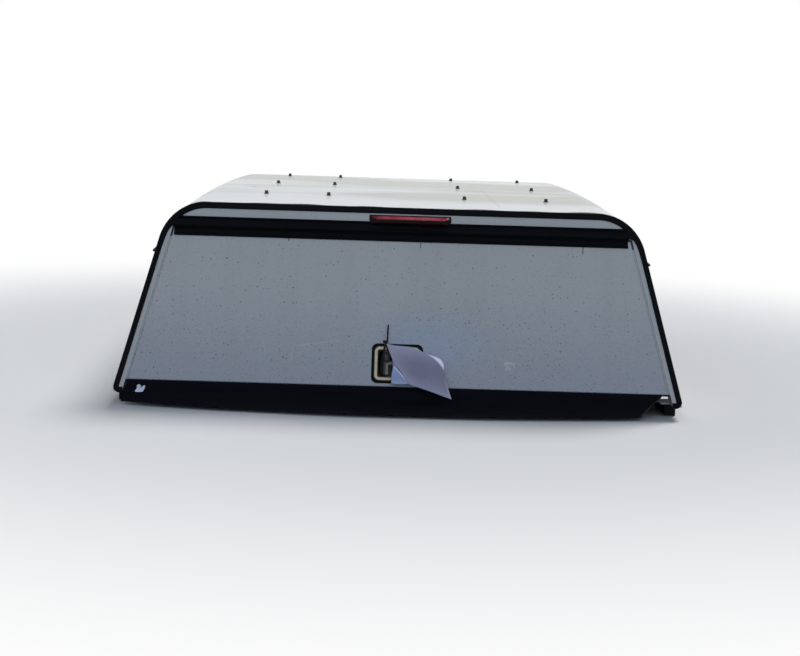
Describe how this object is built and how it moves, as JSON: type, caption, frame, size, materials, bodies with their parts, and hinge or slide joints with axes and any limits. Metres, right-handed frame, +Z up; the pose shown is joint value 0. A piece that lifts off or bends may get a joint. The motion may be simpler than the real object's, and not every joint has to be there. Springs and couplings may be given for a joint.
{
  "type": "pickup truck canopy",
  "caption": "Cab-high moulded canopy for a pickup bed, with a solid lift-up rear door on a full-width hinge, a rubber skirt and framed side windows.",
  "frame": {"origin": "centre of the bounding box at the level that the rail seals rest on", "axes": "+Z up, +Y forwards to the cab, rear door facing -Y, +X to the right seen from behind"},
  "size_m": [1.548, 1.958, 0.5602],
  "materials": {
    "shell_paint": "weathered white gelcoat, glossy",
    "door_paint": "weathered white gelcoat with dirt specks",
    "liner_paint": "plain white inner moulding",
    "edge_rubber": "satin black rubber",
    "skirt_rubber": "smooth black rubber sheet",
    "seal_foam": "closed-cell black foam",
    "hinge_black": "black anodised extrusion",
    "black_plastic": "moulded black plastic",
    "lens_red": "moulded red lens",
    "frame_black": "satin black aluminium",
    "tinted_glass": "grey tinted glass",
    "bolt_steel": "weathered dark steel",
    "bare_aluminium": "mill finish",
    "zinc": "zinc plated",
    "dish_steel": "weathered pressed steel",
    "handle_black": "worn black",
    "sheet_paper": "plain folded paper"
  },
  "bodies": {
    "canopy_shell": {"shell": "shell_paint", "rear_edge_trim": "edge_rubber", "left_rail_seal": "seal_foam", "right_rail_seal": "seal_foam", "front_rail_seal": "seal_foam", "door_seal": "edge_rubber", "hinge_header_rail": "hinge_black", "brake_light_base": "black_plastic", "brake_light_lens": "lens_red", "left_window_frame": "frame_black", "left_window_front_pane": "tinted_glass", "left_window_rear_pane": "tinted_glass", "right_window_frame": "frame_black", "right_window_front_pane": "tinted_glass", "right_window_rear_pane": "tinted_glass", "front_window_frame": "frame_black", "front_window_left_pane": "tinted_glass", "front_window_right_pane": "tinted_glass", "left_drip_rail": "black_plastic", "right_drip_rail": "black_plastic", "roof_bolts": "bolt_steel"},
    "rear_door": {"door_panel": "door_paint", "door_inner_panel": "liner_paint", "hinge_door_rail": "hinge_black", "skirt_retainer": "bare_aluminium", "door_skirt": "skirt_rubber", "skirt_fastener": "zinc", "handle_gasket": "edge_rubber", "handle_dish": "dish_steel", "latch_case": "zinc"},
    "latch_handle": {"handle_tee": "handle_black", "handle_spindle": "zinc", "lock_cylinder": "zinc", "cable_tie": "black_plastic", "notice_sheet": "sheet_paper"}
  },
  "joints": [
    {"name": "rear_door_hinge", "type": "hinge", "parent": "canopy_shell", "child": "rear_door", "pos_m": [0, -0.76804, 0.48005], "axis": [-1, 0, 0], "range_deg": [0, 80]},
    {"name": "handle_turn", "type": "hinge", "parent": "rear_door", "child": "latch_handle", "pos_m": [-0.005, -0.86363, 0.12741], "axis": [0, -0.9588, 0.284], "range_deg": [0, 90]}
  ]
}
